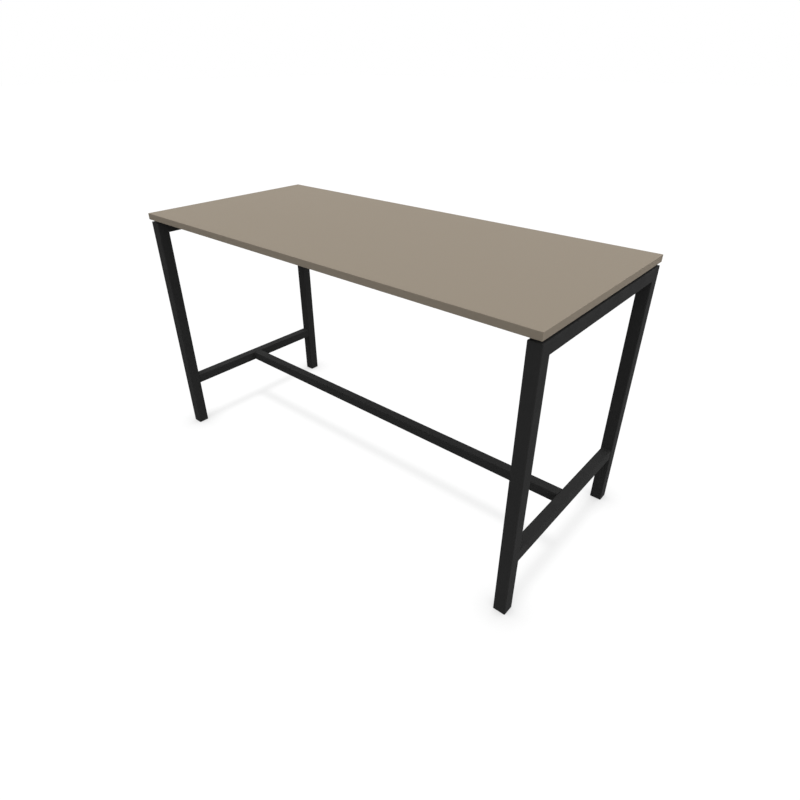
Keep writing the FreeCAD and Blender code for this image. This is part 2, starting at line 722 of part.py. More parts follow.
def make_foot_pad(row, side):
    """Round pad with a sloping upper side, hollow for the head of the stem under a lip."""
    body = new_body(f"{row}_{side}_foot_pad")
    profile = new_sketch(body, "XZ_Plane")
    rim = "Sizes.pad_diameter / 2"
    lip = "Sizes.neck_diameter / 2 + Sizes.head_clearance"
    hollow = "Sizes.stem_head_diameter / 2 + Sizes.head_clearance"
    hollow_top = "Places.stem_head_top + Sizes.head_clearance"
    corners = [
        ("0", "0"),
        (f"{rim} - Sizes.pad_chamfer", "0"),
        (rim, "Sizes.pad_chamfer"),
        (rim, "Sizes.pad_rim_height"),
        ("Sizes.pad_crown_diameter / 2", "Sizes.pad_height"),
        (lip, "Sizes.pad_height"),
        (lip, hollow_top),
        (hollow, hollow_top),
        (hollow, "Sizes.pad_sole"),
        ("0", "Sizes.pad_sole"),
    ]
    draw_polygon(profile, corners)
    add_revolution(body, profile)
    put(body, *at_leg(row, side))
    keep(body)


# ---------------------------------------------------------------- the table

def make_table():
    make_panel()
    make_edge_bands()
    for row, side in CORNERS:
        make_leg(row, side)
    for side in SIDES:
        make_top_rail(side)
        make_lower_rail(side)
        make_footrest_spigot(side)
    make_footrest_bar()
    make_footrest_screws()
    for row in ROWS:
        make_beam(row)
    for row, side in CORNERS:
        make_beam_plate(row, side)
    make_beam_bolts()
    make_blind_nuts()
    make_spacers()
    make_inserts()
    make_top_screws()
    for row, side in CORNERS:
        make_foot_plate(row, side)
        make_foot_stem(row, side)
        make_foot_pad(row, side)
    make_levelling_nuts()


def check_table():
    """Stop if any object failed, any cut missed its solid, or any piece is not a valid solid."""
    for item in doc.Objects:
        if "Invalid" in item.State or "Error" in item.State:
            raise RuntimeError(f"{item.Label} failed: {item.State}")
        if item.TypeId == "PartDesign::Pocket" and item.Shape.Volume >= item.BaseFeature.Shape.Volume:
            raise RuntimeError(f"{item.Label} cuts nothing")
    for label, piece in nodes.items():
        if piece.Shape.isNull() or not piece.Shape.isValid() or piece.Shape.Volume <= 0:
            raise RuntimeError(f"{label} is not a valid solid")


def write_parts():
    os.makedirs("parts", exist_ok=True)
    for label, piece in nodes.items():
        piece.Shape.exportStep(f"parts/{label}.step")
        print(f"{label}: {len(piece.Shape.Solids)} solids, {piece.Shape.Volume:.0f} mm3")


make_table()
doc.recompute()
check_table()
write_parts()
print(f"{len(nodes)} pieces")
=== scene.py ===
"""Standing meeting table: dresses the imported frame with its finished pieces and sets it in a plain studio.

Lengths are metres on the frame's own axes: the origin is on the floor under the middle of the board,
+X runs along the table, +Y to its rear and +Z up.
"""

import json
import math

import bmesh
import bpy
from bmesh.types import BMEdge, BMVert
from bpy.props import FloatProperty, FloatVectorProperty, IntProperty, PointerProperty
from mathutils import Matrix, Vector

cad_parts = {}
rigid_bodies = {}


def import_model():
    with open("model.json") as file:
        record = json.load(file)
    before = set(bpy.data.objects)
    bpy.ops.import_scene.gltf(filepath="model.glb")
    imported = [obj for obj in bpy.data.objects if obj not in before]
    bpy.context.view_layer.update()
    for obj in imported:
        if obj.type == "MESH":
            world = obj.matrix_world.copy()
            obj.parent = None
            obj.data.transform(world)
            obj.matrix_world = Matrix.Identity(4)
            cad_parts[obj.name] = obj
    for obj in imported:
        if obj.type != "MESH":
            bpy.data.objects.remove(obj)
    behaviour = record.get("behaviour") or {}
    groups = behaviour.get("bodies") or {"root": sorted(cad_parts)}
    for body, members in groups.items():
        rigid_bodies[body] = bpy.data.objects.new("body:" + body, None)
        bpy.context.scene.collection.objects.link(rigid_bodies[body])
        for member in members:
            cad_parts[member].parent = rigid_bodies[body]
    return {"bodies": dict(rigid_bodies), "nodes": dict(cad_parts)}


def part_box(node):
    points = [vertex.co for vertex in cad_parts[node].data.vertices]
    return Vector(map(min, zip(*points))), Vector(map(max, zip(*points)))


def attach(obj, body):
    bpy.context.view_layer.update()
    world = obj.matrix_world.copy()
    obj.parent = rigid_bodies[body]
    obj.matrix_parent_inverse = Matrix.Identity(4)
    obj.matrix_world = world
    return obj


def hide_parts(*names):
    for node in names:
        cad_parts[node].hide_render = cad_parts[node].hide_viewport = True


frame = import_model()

bl_info = {
    "name": "Standing meeting table",
    "version": (1, 0, 0),
    "blender": (4, 5, 0),
    "location": "View3D > Sidebar > Table",
    "description": "Finished pieces of a standing meeting table, and a plain studio round it",
    "category": "Object",
}

SIDES = ("left", "right")
ROWS = ("front", "rear")
CORNERS = tuple((row, side) for side in SIDES for row in ROWS)
FEET = tuple(f"{row}_{side}_foot" for row, side in CORNERS)
AXES = {"x": 0, "y": 1, "z": 2}
UP = Vector((0, 0, 1))
# Endings of the names of the pieces that shade the light straight down.
LOW_PIECES = ("_leg_tube", "_lower_rail_tube", "footrest_bar_tube", "_foot_pad_moulding")

PATTERN = (0.3, 0.7)  # nearly all of a noise's values lie between these
CREASE = math.radians(34)  # smooth shading stops where faces meet at more than this
SHARP = math.radians(20)  # and a turned shape has a corner where they meet at more than this
ALIGNED = 0.9  # a direction with more than this along an axis looks along it
SAME_PLACE = 1e-6  # points nearer than this are one
SUNK = 0.0001  # how far a shape reaches into the one beside it

SEGMENTS = 48  # round a small turned shape
WIDE_SEGMENTS = 64  # round a wider one
HOLE_SEGMENTS = 32

HEX_CHAMFER = math.radians(30)
HEX_FACE = 0.95  # diameter of a chamfered hexagon's flat end, as a share of its flats
BORE_CHAMFER = 0.0004
WASHER_FACE = 0.94  # diameter of the face under a bolt's head, as a share of its flats
THREAD_DEPTH = 0.55  # of a V thread, as a share of its pitch
THREAD_CREST = (0.42, 0.58)  # where its crest starts and ends, as shares of its pitch
THREAD_STEPS = 24  # in each turn

RECESS_FLOOR = 0.8  # width of a six-lobed recess at its floor, as a share of its mouth
LOBE_SWELL = 0.14  # how far its lobes swell, as a share of its middle radius
PAN_PROFILE = ((0.0014, 0.0001), (0.0006, 0.0006), (0.0001, 0.0016), (0, 0.0028))  # (in from the rim, depth)
BUTTON_FLAT = 1.28  # flat on top of a button head, as a share of its socket's flats
BUTTON_STEPS = 6  # in the arc of its dome

BEAD_SIDES = 10
BEAD_ENDS = (0.55, 0.86)  # width of a weld bead's first two rings, as a share of its full width
BEAD_DIP = 0.88  # its width between two ripples
BEAD_TRIM = 2.5  # how many of its radii it stops short of a tube's corner


def linear(hex_colour):
    """An sRGB hex colour as linear red, green and blue."""
    channels = [int(hex_colour[i:i + 2], 16) / 255 for i in (0, 2, 4)]
    return tuple(c / 12.92 if c <= 0.04045 else ((c + 0.055) / 1.055) ** 2.4 for c in channels)


def length(name, description, default):
    """A property that holds a length."""
    return FloatProperty(
        name=name, description=description, default=default, min=0, precision=5, unit="LENGTH"
    )


def colour(name, description, hex_colour):
    """A property that holds a colour."""
    return FloatVectorProperty(
        name=name, description=description, default=linear(hex_colour), min=0, max=1, size=3, subtype="COLOR"
    )


def strength(name, description, default):
    """A property that holds a share or the strength of a light."""
    return FloatProperty(name=name, description=description, default=default, min=0)


def spread(name, description, degrees):
    """A property that holds the angle over which a light comes in."""
    return FloatProperty(name=name, description=description, default=math.radians(degrees), subtype="ANGLE")


def vector(name, description, default, subtype):
    """A property that holds a place, a direction or a turn."""
    return FloatVectorProperty(name=name, description=description, default=default, subtype=subtype)


# ---- settings


class BoardSettings(bpy.types.PropertyGroup):
    """Board and edge bands"""

    arris: length("Arris", "Radius along the outer edges of the edge bands", 0.0015)
    laminate: colour("Laminate", "Melamine face of the board", "9F9485")
    band: colour("Edge band", "Solid-coloured ABS strip round the board", "9F9485")
    stipple: length("Stipple", "Size of the pearl texture on the melamine", 0.0012)


class FrameSettings(bpy.types.PropertyGroup):
    """Welded frame of square tube"""

    wall: length("Wall", "Wall of every tube", 0.002)
    corner: length("Corner", "Outer corner radius of every tube", 0.003)
    corner_steps: IntProperty(name="Corner steps", description="Segments in a bent corner", default=5, min=1)
    screw_hole: length("Screw hole", "Diameter of the holes for the board's screws", 0.007)
    driver_hole: length("Driver hole", "Diameter of the holes for screw head and driver", 0.014)
    nut_hole: length("Nut hole", "Diameter of the holes for the blind nuts", 0.011)
    bar_hole: length("Bar hole", "Diameter of the footrest bar's screw holes", 0.0066)
    bead: length("Weld bead", "Radius of the weld beads", 0.0018)
    ripple: length("Ripple", "Distance between the ripples of a weld bead", 0.0022)
    coat: colour("Powder coat", "Black powder coat of the frame", "333333")
    grain: length("Grain", "Size of the powder coat's fine texture", 0.0009)


class FixingSettings(bpy.types.PropertyGroup):
    """Spacers, screws and bolts"""

    spacer_bore: length("Spacer bore", "Hole through a spacer", 0.007)
    spacer_edge: length("Spacer edge", "Radius along a spacer's edges", 0.0008)
    bolt_thread: length("Bolt thread", "Outside diameter of the M8 bolts' thread", 0.0078)
    bolt_pitch: length("Bolt pitch", "Thread pitch of the M8 bolts", 0.00125)
    bolt_shank: length("Bolt shank", "Length of a bolt's plain shank", 0.004)
    washer_face: length("Washer face", "Height of the washer face under a bolt's head", 0.0004)
    screw_thread: length("Screw thread", "Outside diameter of the M6 screws' thread", 0.0058)
    screw_pitch: length("Screw pitch", "Thread pitch of the M6 screws", 0.001)
    screw_tip: length("Screw tip", "Chamfer at the end of a screw", 0.0006)
    pan_head: length("Pan head", "Height of a pan head", 0.004)
    pan_neck: length("Pan neck", "Plain length under a pan head", 0.002)
    lobes: length("Recess", "Diameter of a pan head's six-lobed recess", 0.0052)
    lobes_depth: length("Recess depth", "Depth of a pan head's recess", 0.0022)
    lobes_rim: length("Recess rim", "Width of the chamfer round a pan head's recess", 0.0006)
    lobes_sink: length("Recess sink", "Depth of that chamfer", 0.0001)
    socket: length("Socket", "Across the flats of a button head's hexagon socket", 0.004)
    socket_depth: length("Socket depth", "Depth of a button head's socket", 0.0018)
    socket_rim: length("Socket rim", "Depth of the chamfer round a button head's socket", 0.0002)
    button_rim: length("Button rim", "Height of a button head's upright rim", 0.0004)
    button_neck: length("Button neck", "Plain length under a button head", 0.001)
    zinc: colour("Zinc plate", "Bright zinc plate", "B4B6B8")
    oxide: colour("Black oxide", "Black-oxide screws", "2C2C2E")
    nylon: colour("Spacer nylon", "Black nylon spacers", "202020")
    steel: colour("Bare steel", "Mill-finish steel inside the tubes", "7D7C79")


class FootSettings(bpy.types.PropertyGroup):
    """Levelling feet"""

    sole: length("Sole", "Thickness of a pad under the stem's head", 0.0025)
    rim: length("Rim", "Height of a pad's upright rim", 0.004)
    rim_edge: length("Rim edge", "Chamfer along a pad's lower edge", 0.0008)
    rim_round: length("Rim round", "Radius along a pad's upper edges", 0.0006)
    crown: length("Crown", "Diameter of a pad's flat crown", 0.020)
    head: length("Head", "Diameter of the disc that turns in the pad", 0.013)
    head_height: length("Head height", "Thickness of the disc that turns in the pad", 0.0025)
    head_foot: length("Head foot", "Chamfer along the disc's lower edge", 0.0005)
    head_top: length("Head top", "Chamfer along the disc's upper edge", 0.0004)
    neck: length("Neck", "Diameter of the stem between head and collar", 0.008)
    collar_gap: length("Collar gap", "Pad to the spanner collar", 0.0006)
    collar: length("Collar", "Height of the spanner collar", 0.005)
    flats: length("Flats", "Across the flats of the spanner collar", 0.013)
    thread: length("Thread", "Outside diameter of the thread", 0.0098)
    pitch: length("Pitch", "Thread pitch", 0.0015)
    tip: length("Tip", "Chamfer at the end of the thread", 0.001)
    nut_bore: length("Nut bore", "Bore of a levelling nut", 0.010)
    play: length("Play", "Clearance between the stem's head and the pad", 0.0001)
    nylon: colour("Pad nylon", "Black nylon pads", "1D1D1D")


class StudioSettings(bpy.types.PropertyGroup):
    """Floor, light and camera"""

    floor: length("Floor", "Half the side of the floor", 40)
    floor_colour: colour("Floor colour", "Plain floor, before the camera's white", "303030")
    floor_white: strength("Floor white", "White that the camera adds to the floor", 0.83)
    gloss_white: strength("Gloss white", "White that gloss adds to the floor", 0.3)
    # Painted shadow: the floor's white dims round the feet by ambient occlusion.
    foot_reach: length("Foot reach", "How far off a foot dims the floor's white", 0.12)
    foot_painted_shadow: strength("Foot shade", "Share of the white that a foot can hide", 0.45)
    contact: strength("Contact light", "Strength of the light straight down on the floor", 19)
    contact_spread: spread("Contact spread", "Angle of the light straight down", 18)
    contact_from: vector("Contact from", "Direction of the light straight down", (0, 0, 1), "DIRECTION")
    key: strength("Key light", "Strength of the soft light from above", 2.64)
    key_spread: spread("Key spread", "Angle of the light from above", 140)
    key_from: vector("Key from", "Direction of the light from above", (0.2, 0, 1), "DIRECTION")
    fill: strength("Fill light", "Strength of the soft light from the right", 0.32)
    fill_spread: spread("Fill spread", "Angle of the light from the right", 30)
    fill_from: vector("Fill from", "Direction of the light from the right", (0.85, -0.5, 0.14), "DIRECTION")
    ambient: strength("Ambient", "Strength of the even light all round", 0.06)
    camera: vector("Camera", "Place of the camera", (1.43755, -1.54476, 1.56440), "TRANSLATION")
    aim: vector("Aim", "Turn of the camera", (math.pi / 2 - 0.5451, 0, 0.7079), "EULER")
    lens: FloatProperty(name="Lens", description="Focal length in mm, 36 mm sensor", default=25.622, min=1)


class TableSettings(bpy.types.PropertyGroup):
    """Everything that a user may change on the table"""

    board: PointerProperty(type=BoardSettings)
    frame: PointerProperty(type=FrameSettings)
    fixings: PointerProperty(type=FixingSettings)
    feet: PointerProperty(type=FootSettings)
    studio: PointerProperty(type=StudioSettings)


# ---- finishes


def add_node(tree, kind, settings=None, links=None):
    """Adds a node, sets its properties and sockets by name, and links its inputs."""
    node = tree.nodes.new(kind)
    for name, value in (settings or {}).items():
        if isinstance(name, str) and hasattr(node, name):
            setattr(node, name, value)
        else:
            node.inputs[name].default_value = value
    for name, source in (links or {}).items():
        tree.links.new(source, node.inputs[name])
    return node


def empty_tree(holder):
    """The node tree of a material or world, cleared."""
    holder.use_nodes = True
    holder.node_tree.nodes.clear()
    return holder.node_tree


def new_finish(name, base, patterns, tone, dullness, bumps, **sockets):
    """A material with one Principled shader, whose tone, roughness and surface follow noise patterns.

    Patterns hold the settings and the stretch of each noise by name. Tone and dullness are (pattern, low,
    high), and bumps are (pattern, depth in metres, strength). Sockets hold what is the same all over.
    """
    old = bpy.data.materials.get(name)
    if old:
        bpy.data.materials.remove(old)
    material = bpy.data.materials.new(name)
    tree = empty_tree(material)
    even = {socket.replace("_", " "): value for socket, value in sockets.items()}
    shader = add_node(tree, "ShaderNodeBsdfPrincipled", even)
    add_node(tree, "ShaderNodeOutputMaterial", None, {"Surface": shader.outputs["BSDF"]})
    place = add_node(tree, "ShaderNodeTexCoord").outputs["Object"]
    drawn = {}
    for pattern, noise in patterns.items():
        stretch = {"Scale": noise.pop("stretch", (1, 1, 1))}
        stretched = add_node(tree, "ShaderNodeMapping", stretch, {"Vector": place}).outputs["Vector"]
        drawn[pattern] = add_node(tree, "ShaderNodeTexNoise", noise, {"Vector": stretched}).outputs["Fac"]
    reached = []
    for pattern, low, high in (tone, dullness):
        limits = {"From Min": PATTERN[0], "From Max": PATTERN[1], "To Min": low, "To Max": high}
        value = {"Value": drawn[pattern]}
        reached.append(add_node(tree, "ShaderNodeMapRange", limits, value).outputs["Result"])
    toned = add_node(tree, "ShaderNodeHueSaturation", {"Color": (*base, 1)}, {"Value": reached[0]})
    pattern, depth, rise = bumps
    bump = add_node(tree, "ShaderNodeBump", {"Strength": rise, "Distance": depth}, {"Height": drawn[pattern]})
    tree.links.new(toned.outputs["Color"], shader.inputs["Base Color"])
    tree.links.new(reached[1], shader.inputs["Roughness"])
    tree.links.new(bump.outputs["Normal"], shader.inputs["Normal"])
    return material


def melamine_laminate(table):
    """Melamine-faced board: printed paper under resin, pressed with a pearl texture.

    Matt, with an even colour and a soft broad sheen near grazing angles.
    """
    patterns = {
        # About 0.4 mm on the real board, and drawn coarser so that it shows.
        "pearl": {"Scale": 1 / table.board.stipple, "Detail": 2, "Roughness": 0.45},
        # Cloudy drift of the print over about 300 mm.
        "drift": {"Scale": 3.3, "Detail": 1},
    }
    return new_finish(
        "melamine_laminate", table.board.laminate, patterns,
        tone=("drift", 0.995, 1.005), dullness=("drift", 0.68, 0.72), bumps=("pearl", 0.00006, 0.5),
        Roughness=0.7, IOR=1.5, Specular_IOR_Level=0.06,
    )


def abs_edge_band(table):
    """Extruded ABS strip in the board's colour, trimmed and scraped along its edges.

    Matt, a little smoother than the board, with faint marks along its length from the extruder's die.
    """
    patterns = {
        "grain": {"Scale": 900, "Detail": 1.5},
        # Die marks 1.5 mm apart, stretched along the strip.
        "marks": {"Scale": 1, "Detail": 1, "stretch": (4, 4, 650)},
    }
    return new_finish(
        "abs_edge_band", table.board.band, patterns,
        tone=("marks", 0.99, 1.01), dullness=("marks", 0.62, 0.7), bumps=("grain", 0.00003, 0.4),
        Roughness=0.65, IOR=1.53, Specular_IOR_Level=0.06,
    )


def black_powder_coat(table):
    """Baked polyester powder on steel tube, fine-texture black.

    Dull, with a tight grain that breaks up highlights.
    """
    patterns = {
        # About 0.3 mm on the real coat, and drawn coarser so that it shows.
        "grain": {"Scale": 1 / table.frame.grain, "Detail": 3, "Roughness": 0.6},
        # The coat's thickness wanders over some 40 mm.
        "flow": {"Scale": 25, "Detail": 2},
    }
    return new_finish(
        "black_powder_coat", table.frame.coat, patterns,
        tone=("grain", 0.88, 1.12), dullness=("flow", 0.76, 0.86), bumps=("grain", 0.00012, 0.6),
        Roughness=0.8, IOR=1.5, Specular_IOR_Level=0.08,
    )


def zinc_plate(table):
    """Bright zinc plate with clear passivate on cold-headed steel. Silvery and slightly cloudy."""
    return new_finish(
        "zinc_plate", table.fixings.zinc, {"cloud": {"Scale": 260, "Detail": 3}},
        tone=("cloud", 0.9, 1.05), dullness=("cloud", 0.26, 0.42), bumps=("cloud", 0.00002, 0.4),
        Metallic=1.0, Roughness=0.32,
    )


def black_oxide(table):
    """Heat-treated steel screws blackened and oiled. Nearly black with a satin metal gleam."""
    return new_finish(
        "black_oxide", table.fixings.oxide, {"cloud": {"Scale": 420, "Detail": 3}},
        tone=("cloud", 0.85, 1.15), dullness=("cloud", 0.32, 0.46), bumps=("cloud", 0.00002, 0.4),
        Metallic=0.9, Roughness=0.38,
    )


def mill_steel(table):
    """Cold-drawn steel as it leaves the mill. Grey, with drawing lines along the table."""
    return new_finish(
        "mill_steel", table.fixings.steel, {"lines": {"Scale": 1, "Detail": 3, "stretch": (20, 700, 700)}},
        tone=("lines", 0.85, 1.1), dullness=("lines", 0.38, 0.55), bumps=("lines", 0.00003, 0.4),
        Metallic=1.0, Roughness=0.45,
    )


def moulded_nylon(name, base):
    """Injection-moulded nylon 6, black. Satin, with the fine spark texture of its mould."""
    return new_finish(
        name, base, {"spark": {"Scale": 1400, "Detail": 2}},
        tone=("spark", 0.92, 1.08), dullness=("spark", 0.45, 0.58), bumps=("spark", 0.00004, 0.5),
        Roughness=0.5, IOR=1.53, Specular_IOR_Level=0.3,
    )


def spacer_nylon(table):
    """The spacers' nylon."""
    return moulded_nylon("spacer_nylon", table.fixings.nylon)


def foot_nylon(table):
    """The foot pads' nylon."""
    return moulded_nylon("foot_nylon", table.feet.nylon)


FINISHES = {
    "top_laminate": melamine_laminate,
    "edge_band": abs_edge_band,
    "frame_coat": black_powder_coat,
    "bare_steel": mill_steel,
    "zinc_plate": zinc_plate,
    "black_oxide": black_oxide,
    "spacer_nylon": spacer_nylon,
    "foot_nylon": foot_nylon,
}


def finish_for(slot):
    """The material of a slot, made when it is first asked for."""
    for material in bpy.data.materials:
        if material.get("table_slot") == slot:
            return material
    material = FINISHES[slot](bpy.context.scene.meeting_table)
    material["table_slot"] = slot
    return material


def finish_nodes(slot, *names):
    """Gives CAD nodes whose shape stays the material of their slot."""
    for name in names:
        for place in frame["nodes"][name].material_slots:
            place.material = finish_for(slot)


# ---- shapes


def new_object(name, bm):
    """An object at the origin, made of a bmesh."""
    mesh = bpy.data.meshes.new(name)
    bm.to_mesh(mesh)
    bm.free()
    thing = bpy.data.objects.new(name, mesh)
    bpy.context.scene.collection.objects.link(thing)
    return thing


def add_piece(name, bm, slot, body="table", stands_for=()):
    """Makes a bmesh a piece in its slot's finish, that rides on a body and stands for CAD nodes."""
    if not bm.faces or any(not edge.is_manifold for edge in bm.edges):
        raise RuntimeError(f"{name} is not a closed shape")
    for edge in bm.edges:
        edge.smooth = edge.calc_face_angle(math.pi) < CREASE
    for face in bm.faces:
        face.smooth = True
    old = bpy.data.objects.get(name)
    if old:
        bpy.data.objects.remove(old)
    piece = new_object(name, bm)
    piece.data.materials.append(finish_for(slot))
    # Flat walls stay flat beside their rounded corners.
    normals = piece.modifiers.new("even_normals", "WEIGHTED_NORMAL")
    normals.keep_sharp = True
    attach(piece, body)
    if stands_for:
        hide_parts(*stands_for)


def solids(node):
    """The box of each separate solid in a CAD node, as (low, high), in order along X, Y and Z."""
    bm = bmesh.new()
    bm.from_mesh(frame["nodes"][node].data)
    bmesh.ops.remove_doubles(bm, verts=bm.verts, dist=SAME_PLACE)
    boxes = []
    waiting = set(bm.verts)
    while waiting:
        found = [waiting.pop()]
        for vert in found:
            for edge in vert.link_edges:
                other = edge.other_vert(vert)
                if other in waiting:
                    waiting.remove(other)
                    found.append(other)
        low = Vector([min(v.co[i] for v in found) for i in range(3)])
        high = Vector([max(v.co[i] for v in found) for i in range(3)])
        boxes.append((low, high))
    bm.free()
    return sorted(boxes, key=lambda box: [round(n, 4) for n in box[0] + box[1]])


def middle(box):
    """The middle of a box."""
    return (box[0] + box[1]) / 2


def measures(box):
    """The radius and the height of an upright round solid that fills a box."""
    return (box[1].x - box[0].x) / 2, box[1].z - box[0].z


def join(*parts):
    """Puts several shapes in one bmesh."""
    whole = bmesh.new()
    for part in parts:
        mesh = bpy.data.meshes.new("part")
        part.to_mesh(mesh)
        part.free()
        whole.from_mesh(mesh)
        bpy.data.meshes.remove(mesh)
    return whole


def repeat(pattern, matrices):
    """One bmesh with a copy of a finished shape at each place."""
    copies = [pattern.copy() for matrix in matrices]
    pattern.free()
    for copy, matrix in zip(copies, matrices):
        copy.transform(matrix)
    return join(*copies)


def add_set(name, shape, slot, node, body="table", turn=Matrix()):
    """Makes a piece with a copy of a shape, turned, on the underside of each solid of a CAD node."""
    places = [Matrix.Translation((*middle(box).xy, box[0].z)) @ turn for box in solids(node)]
    add_piece(name, repeat(shape, places), slot, body, [node])


def clean(bm):
    """Merges what lies at one place and points the faces outwards."""
    bmesh.ops.remove_doubles(bm, verts=bm.verts, dist=SAME_PLACE)
    bmesh.ops.recalc_face_normals(bm, faces=bm.faces)


def close(bm, *rings):
    """Fills the open rings of a shape and cleans it."""
    for ring in rings:
        bmesh.ops.edgeloop_fill(bm, edges=ring)
    clean(bm)


def soften(bm, edges, radius, steps=3):
    """Rounds edges."""
    bmesh.ops.bevel(
        bm, geom=edges, offset=radius, offset_type="OFFSET", segments=steps, profile=0.5,
        affect="EDGES", clamp_overlap=True, material=-1,
    )


def cut_off(bm, point, normal):
    """Cuts off what lies beyond a plane and gives the edges of the cut."""
    geometry = bm.verts[:] + bm.edges[:] + bm.faces[:]
    cut = bmesh.ops.bisect_plane(
        bm, geom=geometry, dist=SAME_PLACE, plane_co=point, plane_no=normal, clear_outer=True
    )
    return [e for e in cut["geom_cut"] if isinstance(e, BMEdge)]


def edges_along(edges, axis):
    """Those edges of a box that run along an axis."""
    return [e for e in edges if abs((e.verts[0].co - e.verts[1].co)[axis]) > SAME_PLACE]


def sharp_edges(bm):
    """The edges of a turned shape at which it has a corner."""
    return [edge for edge in bm.edges if edge.is_manifold and edge.calc_face_angle(0) > SHARP]


def circle(bm, radius, segments, matrix, capped=False):
    """Makes a circle and gives its points and its edges."""
    made = bmesh.ops.create_circle(bm, cap_ends=capped, radius=radius, segments=segments, matrix=matrix)
    return made["verts"], list(dict.fromkeys(edge for vert in made["verts"] for edge in vert.link_edges))


def extrude(bm, edges):
    """Extrudes a ring of edges, which don't move yet, and gives the new points and edges."""
    made = bmesh.ops.extrude_edge_only(bm, edges=edges)["geom"]
    return [v for v in made if isinstance(v, BMVert)], [e for e in made if isinstance(e, BMEdge)]


def block(low, high):
    """A bmesh cube that fills a box."""
    bm = bmesh.new()
    bmesh.ops.create_cube(bm, size=1)
    bmesh.ops.scale(bm, vec=high - low, verts=bm.verts)
    bmesh.ops.translate(bm, vec=(low + high) / 2, verts=bm.verts)
    return bm


def square_tube(low, high, axis, settings, holes=(), mitres=()):
    """A square tube that fills a box, along an axis.

    A hole is (centre, outward, diameter), through the one wall that faces outward. A mitre is
    (point, normal), a plane beyond which the tube is cut off.
    """
    along = AXES[axis]
    # A mitred tube starts a little too long, so that the plane cuts the whole of its end.
    spare = Vector([settings.wall if i == along and mitres else 0 for i in range(3)])
    bm = block(low - spare, high + spare)
    bmesh.ops.delete(bm, geom=[f for f in bm.faces if abs(f.normal[along]) > ALIGNED], context="FACES_ONLY")
    soften(bm, edges_along(bm.edges, along), settings.corner, settings.corner_steps)
    for outward in dict.fromkeys(tuple(hole[1]) for hole in holes):
        facing = Vector(outward)
        wall = max(bm.faces, key=lambda f: f.normal.dot(facing) * f.calc_area())
        rims = list(wall.edges)
        turned = facing.to_track_quat("Z", "Y").to_matrix().to_4x4()
        for centre, way, diameter in holes:
            if tuple(way) == outward:
                rims += circle(bm, diameter / 2, HOLE_SEGMENTS, Matrix.Translation(centre) @ turned)[1]
        bmesh.ops.delete(bm, geom=[wall], context="FACES_ONLY")
        bmesh.ops.triangle_fill(bm, use_beauty=True, use_dissolve=False, edges=rims, normal=facing)
    bmesh.ops.recalc_face_normals(bm, faces=bm.faces)
    bmesh.ops.solidify(bm, geom=bm.faces[:], thickness=settings.wall)
    for point, normal in mitres:
        bmesh.ops.bridge_loops(bm, edges=[e for e in cut_off(bm, point, normal) if e.is_boundary])
    return bm


def spin(bm, points, steps, turns=1, pitch=0.0, closed=False):
    """Turns a line through (radius, height) points about the Z axis, up by pitch in each turn."""
    verts = [bm.verts.new((radius, 0, height)) for radius, height in points]
    ends = verts[1:] + verts[:1] if closed else verts[1:]
    edges = [bm.edges.new(pair) for pair in zip(verts, ends)]
    bmesh.ops.spin(
        bm, geom=verts + edges, cent=(0, 0, 0), axis=UP, dvec=(0, 0, pitch * turns / steps),
        angle=2 * math.pi * turns, space=Matrix.Identity(4), steps=steps, use_merge=not pitch,
        use_normal_flip=False, use_duplicate=False,
    )


def spun(points, segments=SEGMENTS, closed=False):
    """A turned shape about the Z axis through the origin, from (radius, height) points."""
    bm = bmesh.new()
    spin(bm, points, segments, closed=closed)
    clean(bm)
    return bm


def rod(radius, low, high):
    """A plain cylinder about the Z axis."""
    return spun([(0, high), (radius, high), (radius, low), (0, low)])


def hexagon(turn):
    """Reach of a hexagon's outline, as a share of half its flats."""
    return 1 / math.cos((turn + math.pi / 6) % (math.pi / 3) - math.pi / 6)


def lobed(turn):
    """Reach of a six-lobed outline, as a share of its middle radius."""
    return 1 + LOBE_SWELL * math.cos(6 * turn)


def round_outline(turn):
    """Reach of a circle."""
    return 1


def start_ring(bm, radius, height, outline=round_outline):
    """A ring of edges about the Z axis."""
    verts, ring = circle(bm, radius, SEGMENTS, Matrix.Translation((0, 0, height)))
    for vert in verts:
        reach = outline(math.atan2(vert.co.y, vert.co.x))
        vert.co = Vector((vert.co.x * reach, vert.co.y * reach, height))
    return ring


def extend(bm, ring, radius, height, outline=round_outline, fall=0.0):
    """Extrudes a ring of edges to an outline, lower by fall for each step it reaches past radius."""
    verts, ring = extrude(bm, ring)
    for vert in verts:
        turn = math.atan2(vert.co.y, vert.co.x)
        reach = radius * outline(turn)
        vert.co = Vector((reach * math.cos(turn), reach * math.sin(turn), height - fall * (reach - radius)))
    return ring


def extend_through(bm, ring, points):
    """Extrudes a ring of edges to a circle at each of several (radius, height) points."""
    for radius, height in points:
        ring = extend(bm, ring, radius, height)
    return ring


def hex_body(flats, low, high, bore=0.0, chamfer_below=True):
    """A hexagon prism about the Z axis with cone-chamfered ends, and a chamfered bore if it has one."""
    bm = bmesh.new()
    slope = math.tan(HEX_CHAMFER)
    face = HEX_FACE * flats / 2
    step = (flats / 2 - face) * slope
    mouth = bore / 2 + BORE_CHAMFER
    first = start_ring(bm, mouth if bore else face, high)
    ring = extend(bm, first, face, high) if bore else first
    ring = extend(bm, ring, flats / 2, high - step, hexagon, slope)
    if chamfer_below:
        ring = extend(bm, ring, flats / 2, low + step, hexagon, -slope)
        ring = extend(bm, ring, face, low)
    else:
        ring = extend(bm, ring, flats / 2, low, hexagon)
    if bore:
        inside = [(bore / 2, low + BORE_CHAMFER), (bore / 2, high - BORE_CHAMFER)]
        extend_through(bm, ring, [(mouth, low), *inside, (mouth, high)])
        clean(bm)
    else:
        close(bm, first, ring)
    return bm


